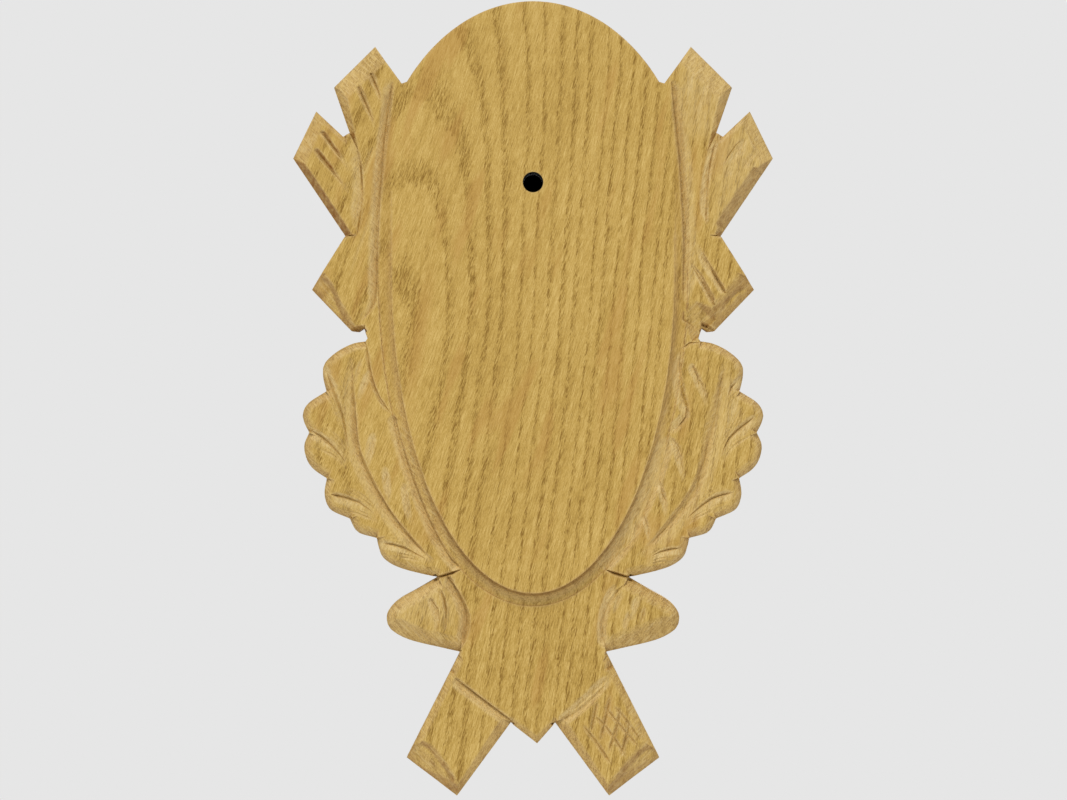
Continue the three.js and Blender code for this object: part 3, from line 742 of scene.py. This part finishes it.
class Shell:
    """Points and faces of the whole board."""

    def __init__(self):
        self.points = []
        self.faces = []

    def add(self, places, heights):
        """Adds points, at one height or one for each, and returns their indices."""
        start = len(self.points)
        heights = np.broadcast_to(heights, len(places))
        self.points += [(x, -height, z) for (x, z), height in zip(places, heights)]
        return list(range(start, len(self.points)))

    def rows(self, loop, tops, bottom, count):
        """Rows of points down a wall over a loop."""
        return [self.add(loop, tops + (bottom - tops) * (k / (count - 1))) for k in range(count)]

    def wall(self, rings, inside=False):
        """Joins rings of equal length, from the front to the back. Outside walls face out."""
        for front_ring, back_ring in zip(rings, rings[1:]):
            count = len(front_ring)
            for i in range(count):
                j = (i + 1) % count
                face = [front_ring[i], back_ring[i], back_ring[j], front_ring[j]]
                self.faces.append(face[::-1] if inside else face)

    def bore(self, opening, front_ring=None):
        """Adds an opening's walls, from the front or a flat end, and returns its back ring."""
        rows = self.rows(round_ring(opening), opening["top"], ARRIS, BORE_ROWS)
        back_ring = self.add(round_ring(opening, ARRIS), 0.0)
        start = [front_ring] if front_ring else []
        self.wall([*start, *rows, back_ring], inside=True)
        if not front_ring:
            self.faces.append(rows[0][::-1])
        return back_ring

    def back(self, front, rings):
        """Adds the flat back between its rings of points."""
        plan = Plan()
        names = []
        for ring in rings:
            plan.add_ring([(self.points[i][0], self.points[i][2]) for i in ring])
            names += ring
        low, high = np.min(plan.points, axis=0), np.max(plan.points, axis=0)
        near = tree_of(plan.points)
        for x, z in lattice(BACK_STEP, low, high).reshape(-1, 2):
            clear = clearance(near, (x, z)) > BACK_STEP / 3 and not in_opening(x, z)
            if clear and front.height(x, z) is not None:
                plan.points.append((x, z))
        places, faces, gone = plan.triangulate()
        index = {gone[planned]: name for planned, name in enumerate(names)}
        for i, place in enumerate(places):
            if i not in index:
                index[i] = self.add([place], 0.0)[0]
        for face in faces:
            if not in_opening(*places[list(face)].mean(axis=0)):
                self.faces.append([index[i] for i in face][::-1])


def out_of_rim(places):
    """How far each point lies out of the field's rim, measured level."""
    x, z = places.T
    down = np.clip((FIELD["widest_z"] - z) / (FIELD["widest_z"] - FIELD["bottom_z"]), 0, 1)
    return np.abs(x) - FIELD["half_width"] * np.sqrt(1 - down ** 2)


def ground_shade(places):
    """How much painted shade each point gets on the ground beside the field, along its rim."""
    z = places[:, 1]
    away = np.abs(out_of_rim(places) - GROUND["out"])
    across = np.clip(GROUND["gain"] - GROUND["gain"] * away / GROUND["half"], 0, 1)
    rise = np.clip((z - GROUND["low_z"]) / (GROUND["full_z"] - GROUND["low_z"]), 0, 1)
    top = np.clip((GROUND["top_z"] - z) / GROUND["top_fade"], 0, 1)
    return across * rise * top


def rim_shade(places, steep):
    """How much each point lies in the shade of the field's rim, around its lower half."""
    x, z = places.T
    width, height = FIELD["half_width"], FIELD["widest_z"] - FIELD["bottom_z"]
    down = np.maximum(0, FIELD["widest_z"] - z)
    reach = np.hypot(x / width, down / height)
    slope = np.hypot(x / width ** 2, down / height ** 2) / np.maximum(reach, 1e-6)
    out = (reach - 1) / np.maximum(slope, 1e-6)
    across = np.clip(1 - np.abs(out - SHADE["out"]) / SHADE["half"], 0, 1)
    low = np.clip((SHADE["high_z"] - z) / (SHADE["high_z"] - SHADE["low_z"]), 0, 1)
    return across * low * steep


def vertex_mean(edges, count, to_first, to_second):
    """The mean at each vertex of what its edges give to their first and second ends."""
    total = np.zeros(count)
    number = np.zeros(count)
    for end, given in enumerate((to_first, to_second)):
        np.add.at(total, edges[:, end], given)
        np.add.at(number, edges[:, end], 1)
    return total / np.maximum(number, 1)


def surface_marks(mesh, bare_and_lit):
    """Stores the marks at each vertex. The front's vertices come first, with their bareness."""
    count = len(mesh.vertices)
    in_front = slice(0, len(bare_and_lit))
    beyond = slice(len(bare_and_lit), count)
    places = np.array([vertex.co[:] for vertex in mesh.vertices]) / MM
    flat = places[:, [0, 2]]
    normals = np.array([vertex.normal[:] for vertex in mesh.vertices])
    edges = np.array([edge.vertices[:] for edge in mesh.edges])

    def neighbours(values):
        return vertex_mean(edges, count, values[edges[:, 1]], values[edges[:, 0]])

    def softened(values):
        return 0.5 * values + 0.5 * neighbours(values)

    lengths = norm(places[edges[:, 0]] - places[edges[:, 1]], axis=1)
    heights = -places[:, 1]
    bend = (neighbours(heights) - heights) / vertex_mean(edges, count, lengths, lengths)
    bend[beyond] = 0
    bend = softened(bend)
    slope = 1 + normals[:, 1]
    carved = softened(np.clip((slope - CARVED_LEAN[0]) / CARVED_LEAN[1], 0, 1))
    carved[normals[:, 1] > 0.5] = 0
    steep = np.clip((slope - STEEP_LEAN[0]) / STEEP_LEAN[1], 0, 1)
    steep[beyond] = 0
    # Painted shade: steep faces that face down are darkened in each box.
    down_bevel_shade = np.zeros(count)
    for low, high, share in DOWN_BEVEL_SHADES:
        inside = ((flat > low) & (flat < high)).all(axis=1) & (normals[:, 2] < 0)
        down_bevel_shade = np.where(inside, share * steep, down_bevel_shade)
    bare_and_lit = np.append(bare_and_lit, np.zeros(count - len(bare_and_lit)))
    # Painted light: slopes that face up are made paler in these boxes, as light from above would make
    # them; elsewhere the wood itself is paler.
    for low, high, top_light_on_slopes, elsewhere in PALE_WOOD_AND_TOP_LIGHT:
        margin = np.minimum(flat - low, high - flat).min(axis=1)
        paleness = np.where(normals[:, 2] > 0, np.maximum(top_light_on_slopes * steep, elsewhere), elsewhere)
        bare_and_lit = np.maximum(bare_and_lit, np.clip(margin / PALE_MARGIN, 0, 1) * paleness)
    bare_and_lit[beyond] = 0
    # Painted shade: places lower than their neighbours, such as grooves and creases, are darkened.
    crease_shade = np.clip(bend, 0, 1)
    away = along(flat[in_front], smooth_line(LEDGE["line"]))[0]
    crease_shade[in_front] *= np.clip(np.abs(away) / LEDGE["eased"], LEDGE["least"], 1)
    marks = (carved, crease_shade, np.clip(-bend, 0, 1), bare_and_lit, steep, down_bevel_shade, ground_shade(flat),
             rim_shade(flat, steep))
    for name, values in zip(MARKS, marks):
        attribute = mesh.attributes.new(name, "FLOAT", "POINT")
        attribute.data.foreach_set("value", values.astype(np.float32))


def plaque():
    """The whole board as one closed mesh."""
    solid = solid_mesh(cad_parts[NODE])
    front = Front(solid)
    outline = resampled(back_outline(solid), OUTLINE_STEP)
    places, heights, faces, rim, hole_rim = front_surface(front, solid, outline)
    solid.free()
    heights -= facet_marks(places, heights)
    heights -= ledge_marks(places, heights)
    taken, bare_and_lit = cut_marks(places)
    heights -= taken
    heights = np.minimum(heights + tool_waves(places, heights), THICKNESS)

    shell = Shell()
    shell.add(places, heights)
    shell.faces += [list(face) for face in faces]
    sawn = inward(outline, saw_marks(outline))
    edge_rows = shell.rows(sawn, heights[rim] - ARRIS, ARRIS, WALL_ROWS)
    edge_back = shell.add(inward(outline, 2 * ARRIS), 0.0)
    shell.wall([rim, *edge_rows, edge_back])
    shell.back(front, [edge_back, shell.bore(HOLE, hole_rim), shell.bore(SLOT)])

    mesh = bpy.data.meshes.new("carved_plaque")
    mesh.from_pydata([tuple(MM * value for value in point) for point in shell.points], [],
                     shell.faces)
    mesh.validate()
    mesh.shade_smooth()
    mesh.set_sharp_from_angle(angle=SHARP_ANGLE)
    surface_marks(mesh, bare_and_lit)
    return placed("carved_plaque", mesh)


def placed(name, data):
    """A new object in the scene."""
    made = bpy.data.objects.new(name, data)
    bpy.context.scene.collection.objects.link(made)
    return made


class Nodes:
    """Short calls for building a node tree."""

    def __init__(self, tree):
        self.tree = tree
        tree.nodes.clear()

    def node(self, kind, inputs=None, **settings):
        made = self.tree.nodes.new(kind)
        for name, value in settings.items():
            setattr(made, name, value)
        for name, value in (inputs or {}).items():
            if isinstance(value, bpy.types.NodeSocket):
                self.tree.links.new(value, made.inputs[name])
            else:
                made.inputs[name].default_value = value
        return made

    def surface(self, inputs):
        shader = self.node("ShaderNodeBsdfPrincipled", inputs)
        self.node("ShaderNodeOutputMaterial", {"Surface": shader.outputs[0]})

    def mark(self, name):
        """A value that the mesh stores at each vertex."""
        return self.node("ShaderNodeAttribute", attribute_name=name).outputs["Fac"]

    def math(self, operation, *values, clamp=False):
        return self.node("ShaderNodeMath", dict(enumerate(values)), operation=operation,
                         use_clamp=clamp).outputs[0]

    def plus(self, *values, clamp=False):
        result = values[0]
        for value in values[1:]:
            result = self.math("ADD", result, value, clamp=clamp)
        return result

    def minus(self, a, b):
        return self.math("SUBTRACT", a, b)

    def times(self, a, b, clamp=False):
        return self.math("MULTIPLY", a, b, clamp=clamp)

    def over(self, a, b):
        return self.math("DIVIDE", a, b)

    def length(self, a, b):
        """The square root of the sum of two squares."""
        return self.math("SQRT", self.plus(self.math("POWER", a, 2.0), self.math("POWER", b, 2.0)))

    def step(self, value, low, high):
        """0 at low and under, 1 at high and over, and smooth between."""
        return self.node("ShaderNodeMapRange", {"Value": value, "From Min": low, "From Max": high},
                         interpolation_type="SMOOTHSTEP").outputs["Result"]

    def band(self, value, low, full, falling, gone):
        """0 at low and under, 1 from full to falling, and 0 again from gone on."""
        return self.times(self.step(value, low, full), self.minus(1.0, self.step(value, falling, gone)))

    def mix(self, share, a, b, blend="MIX"):
        return self.node("ShaderNodeMix", {0: share, 6: a, 7: b}, data_type="RGBA",
                         blend_type=blend).outputs[2]

    def layer(self, colour, name, share):
        """The colour under one of the layers over the wood: some are its own colours, some painted light
        and shade.
        """
        over, strength = LAYERS[name]
        return self.mix(self.times(share, strength), colour, srgb(*over))

    def noise(self, x, y, z):
        """Noise from -0.5 to 0.5."""
        place = self.node("ShaderNodeCombineXYZ", {"X": x, "Y": y, "Z": z}).outputs[0]
        made = self.node("ShaderNodeTexNoise", {"Vector": place, "Scale": 1.0, "Detail": 1.0})
        return self.minus(made.outputs["Fac"], 0.5)

    def bend_line(self, z, start, centre, below, above, soft):
        """A line over z that runs at one slope below its centre and at another above it."""
        away = self.minus(z, centre)
        curve = self.math("SQRT", self.plus(self.math("POWER", away, 2.0), soft ** 2))
        curve = self.minus(curve, soft)
        line = self.plus(self.times(away, (below + above) / 2), self.times(curve, (above - below) / 2))
        return self.plus(line, start)


def srgb(red, green, blue):
    """A colour given in 0 to 255, as linear light."""
    values = [value / 255 for value in (red, green, blue)]
    return tuple(v / 12.92 if v <= 0.04045 else ((v + 0.055) / 1.055) ** 2.4 for v in values) + (1,)


def oak():
    """Flat-sawn oak: growth rings round a pith behind the board, pores and paler cuts, with painted shade
    and painted light laid over it.
    """
    material = bpy.data.materials.new("oak")
    material.use_nodes = True
    nodes = Nodes(material.node_tree)
    plus, minus, times, over, layer = nodes.plus, nodes.minus, nodes.times, nodes.over, nodes.layer
    place = nodes.node("ShaderNodeTexCoord").outputs["Object"]
    split = nodes.node("ShaderNodeSeparateXYZ", {"Vector": place})
    x, y, z = (times(split.outputs[axis], 1 / MM) for axis in "XYZ")
    carved, crease_shade, arris, bare_and_lit, steep, down_bevel_shade, ground, shade = map(nodes.mark, MARKS)

    # The pith runs behind the board and comes nearer to it downward.
    depth = minus(nodes.bend_line(z, *PITH_DEPTH), plus(y, THICKNESS))
    radius = nodes.length(minus(x, nodes.bend_line(z, *PITH_X)), depth)
    fan = times(times(x, z), FAN)
    fibre = plus(minus(x, nodes.bend_line(z, *LEAN)), fan)

    def grain(across, down, gain=1.0):
        """Noise that is drawn out along the fibres."""
        fac = nodes.noise(over(fibre, across), over(y, across), over(z, down))
        return times(fac, gain)

    def patches(name):
        across, down, low, high = PATCHES[name]
        return nodes.step(grain(across, down), low, high)

    def uneven(name, clamp=False):
        *size, mean = UNEVEN[name]
        return plus(grain(*size), mean, clamp=clamp)

    wandering = plus(radius, *(grain(*size) for size in RING_GRAIN))
    turn = over(minus(wandering, RINGS["first"]), RINGS["width"])
    wider = nodes.noise(times(turn, RINGS["often"]), 0.0, 0.0)
    phase = nodes.math("FRACT", plus(turn, times(wider, RINGS["uneven"])))
    early = times(nodes.band(phase, *RINGS["early"]), uneven("early"), clamp=True)

    pores = plus(times(early, PORES["early"]), PORES["late"])
    pores = times(patches("pores"), pores)
    tone = plus(*(grain(*size) for size in TONE_GRAIN), times(early, TONE["early"]),
                times(pores, TONE["pores"]), times(patches("cracks"), TONE["cracks"]))
    tone = plus(tone, TONE["middle"], clamp=True)
    ramp = nodes.node("ShaderNodeValToRGB", {"Fac": tone})
    elements = ramp.color_ramp.elements
    elements.new(0.5)
    for element, rgb in zip(elements, WOOD):
        element.color = srgb(*rgb)

    beside = minus(x, times(z, STREAK_LEAN))
    streak = times(nodes.band(beside, *STREAK_ACROSS), nodes.band(z, *STREAK_ALONG))
    rust = plus(patches("rust"), streak, clamp=True)
    torn = times(patches("torn"), nodes.math("MAXIMUM", carved, bare_and_lit))
    colour = layer(ramp.outputs["Color"], "rust", rust)
    colour = layer(colour, "carved", carved)
    # Painted shade: the ground beside the field is darkened, standing in for the shade of the cove along
    # the field's rim.
    colour = nodes.mix(ground, colour, GROUND_SHADE_TINT, "MULTIPLY")
    # Painted light: steep faces are made paler, standing in for fill light that would brighten them.
    colour = layer(colour, "steep", steep)
    colour = layer(colour, "streaks", times(patches("streaks"), steep))
    # Bare wood from the strokes and paler wood, with painted light on slopes that face up.
    colour = layer(colour, "bare_and_lit", times(bare_and_lit, uneven("bare_and_lit", clamp=True)))
    colour = layer(colour, "torn", torn)

    # Chisel marks lie outside the shield, and not on the ground beside the field.
    from_middle = nodes.math("ABSOLUTE", x)
    across = minus(from_middle, z)
    down = plus(from_middle, z)
    side = times(nodes.math("SIGN", x), CHISEL_SIDE)
    outside = times(carved, nodes.step(from_middle, SHIELD_HALF, SHIELD_HALF + 1))
    outside = times(outside, minus(1.0, ground))
    for name, (width, length, seed, low, high) in CHISEL.items():
        marks = nodes.noise(over(across, width), over(down, length), plus(side, seed))
        colour = layer(colour, name, times(nodes.step(marks, low, high), outside))

    colour = layer(colour, "arris", arris)
    # Painted shade in grooves and creases.
    colour = layer(colour, "crease_shade", crease_shade)
    colour = nodes.mix(shade, colour, SHADE_TINT, "MULTIPLY")
    # Painted shade on bevels that face down, uneven along the grain.
    colour = layer(colour, "down_bevel_shade", times(down_bevel_shade, uneven("down_bevel_shade")))
    # Painted shade: the wall of the screw hole is coloured near black, standing in for the shade inside
    # it.
    from_hole = nodes.length(minus(x, HOLE["x"]), minus(z, HOLE["low_z"]))
    bore = nodes.step(from_hole, HOLE["radius"] + BORE_SHADE_MARGIN, HOLE["radius"] + ARRIS)
    bore = minus(1.0, bore)
    colour = layer(colour, "bore", bore)

    pits = plus(times(pores, -1.0), grain(*PIT_GRAIN), times(torn, -1.2))
    bump = nodes.node("ShaderNodeBump", {"Strength": 0.4, "Distance": 0.0001, "Height": pits})
    rough = plus(times(pores, ROUGHNESS["pores"]), times(carved, ROUGHNESS["carved"]),
                 times(bore, ROUGHNESS["bore"]), ROUGHNESS["plain"])
    nodes.surface({"Base Color": colour, "Roughness": rough, "Normal": bump.outputs[0],
                   "Specular IOR Level": 0.4})
    return material


def stage_card(name, corners, colour, roughness):
    """A flat card of the stage, in a plain material."""
    material = bpy.data.materials.new(name)
    material.use_nodes = True
    nodes = Nodes(material.node_tree)
    nodes.surface({"Base Color": colour, "Roughness": roughness, "Specular IOR Level": 0.0})
    mesh = bpy.data.meshes.new(name)
    mesh.from_pydata(corners, [], [(0, 1, 2, 3)])
    mesh.materials.append(material)
    placed(name, mesh)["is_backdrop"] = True


def floor():
    """A pale floor below the board, too short to show behind it from the front."""
    half, level, roughness = 1.6, -0.7, 0.7
    corners = [(-half, -half, level), (half, -half, level), (half, half, level), (-half, half, level)]
    stage_card("floor", corners, srgb(232, 232, 232), roughness)


def hole_shade_card():
    """A black card far behind the board, seen only in and through the screw hole, where it stands in for
    the shade in the hole.
    """
    half, behind, low_z, high_z = 0.13, 5.0, -0.26, 0.43
    corners = [(-half, behind, low_z), (half, behind, low_z), (half, behind, high_z),
               (-half, behind, high_z)]
    stage_card("hole_shade_card", corners, (0.0, 0.0, 0.0, 1.0), 1.0)


def camera():
    """A long lens straight in front of the board."""
    data = bpy.data.cameras.new("camera")
    made = placed("camera", data)
    bpy.context.scene.camera = made
    across = PHOTO_WIDTH * MM_PER_PIXEL * MM
    data.sensor_width = SENSOR_WIDTH
    data.lens = SENSOR_WIDTH * CAMERA_DISTANCE / across
    x = (PHOTO_WIDTH / 2 - CENTRE_PIXEL[0]) * MM_PER_PIXEL * MM
    z = (CENTRE_PIXEL[1] - PHOTO_HEIGHT / 2) * MM_PER_PIXEL * MM
    made.location = (x, -THICKNESS * MM - CAMERA_DISTANCE, z)
    made.rotation_euler = (math.radians(90), 0, 0)
    data.clip_start, data.clip_end = 0.05, 50


def studio():
    """Grey surroundings, a large key light above and in front, and a softer one behind."""
    world = bpy.data.worlds.new("studio")
    bpy.context.scene.world = world
    world.use_nodes = True
    nodes = Nodes(world.node_tree)
    seen = nodes.node("ShaderNodeLightPath").outputs["Is Camera Ray"]
    shown = nodes.node("ShaderNodeBackground", {"Color": srgb(230, 230, 230), "Strength": 1.0})
    glow = nodes.node("ShaderNodeBackground", {"Color": (1, 1, 1, 1), "Strength": GLOW})
    mixed = nodes.node("ShaderNodeMixShader", {0: seen, 1: glow.outputs[0], 2: shown.outputs[0]})
    nodes.node("ShaderNodeOutputWorld", {"Surface": mixed.outputs[0]})
    for name, (place, size, power) in LIGHTS.items():
        data = bpy.data.lights.new(name, "AREA")
        data.size = size
        data.energy = power
        made = placed(name, data)
        made.location = place
        made.rotation_euler = (-Vector(place)).to_track_quat("-Z", "Y").to_euler()
    bpy.context.scene.view_settings.view_transform = "Standard"


camera()
board = plaque()
board.data.materials.append(oak())
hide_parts(NODE)
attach(board, "root")
floor()
hole_shade_card()
studio()

boxes = {"cad": cad_box, "visual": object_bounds()}
{name: [list(corner) for corner in box] for name, box in boxes.items()}
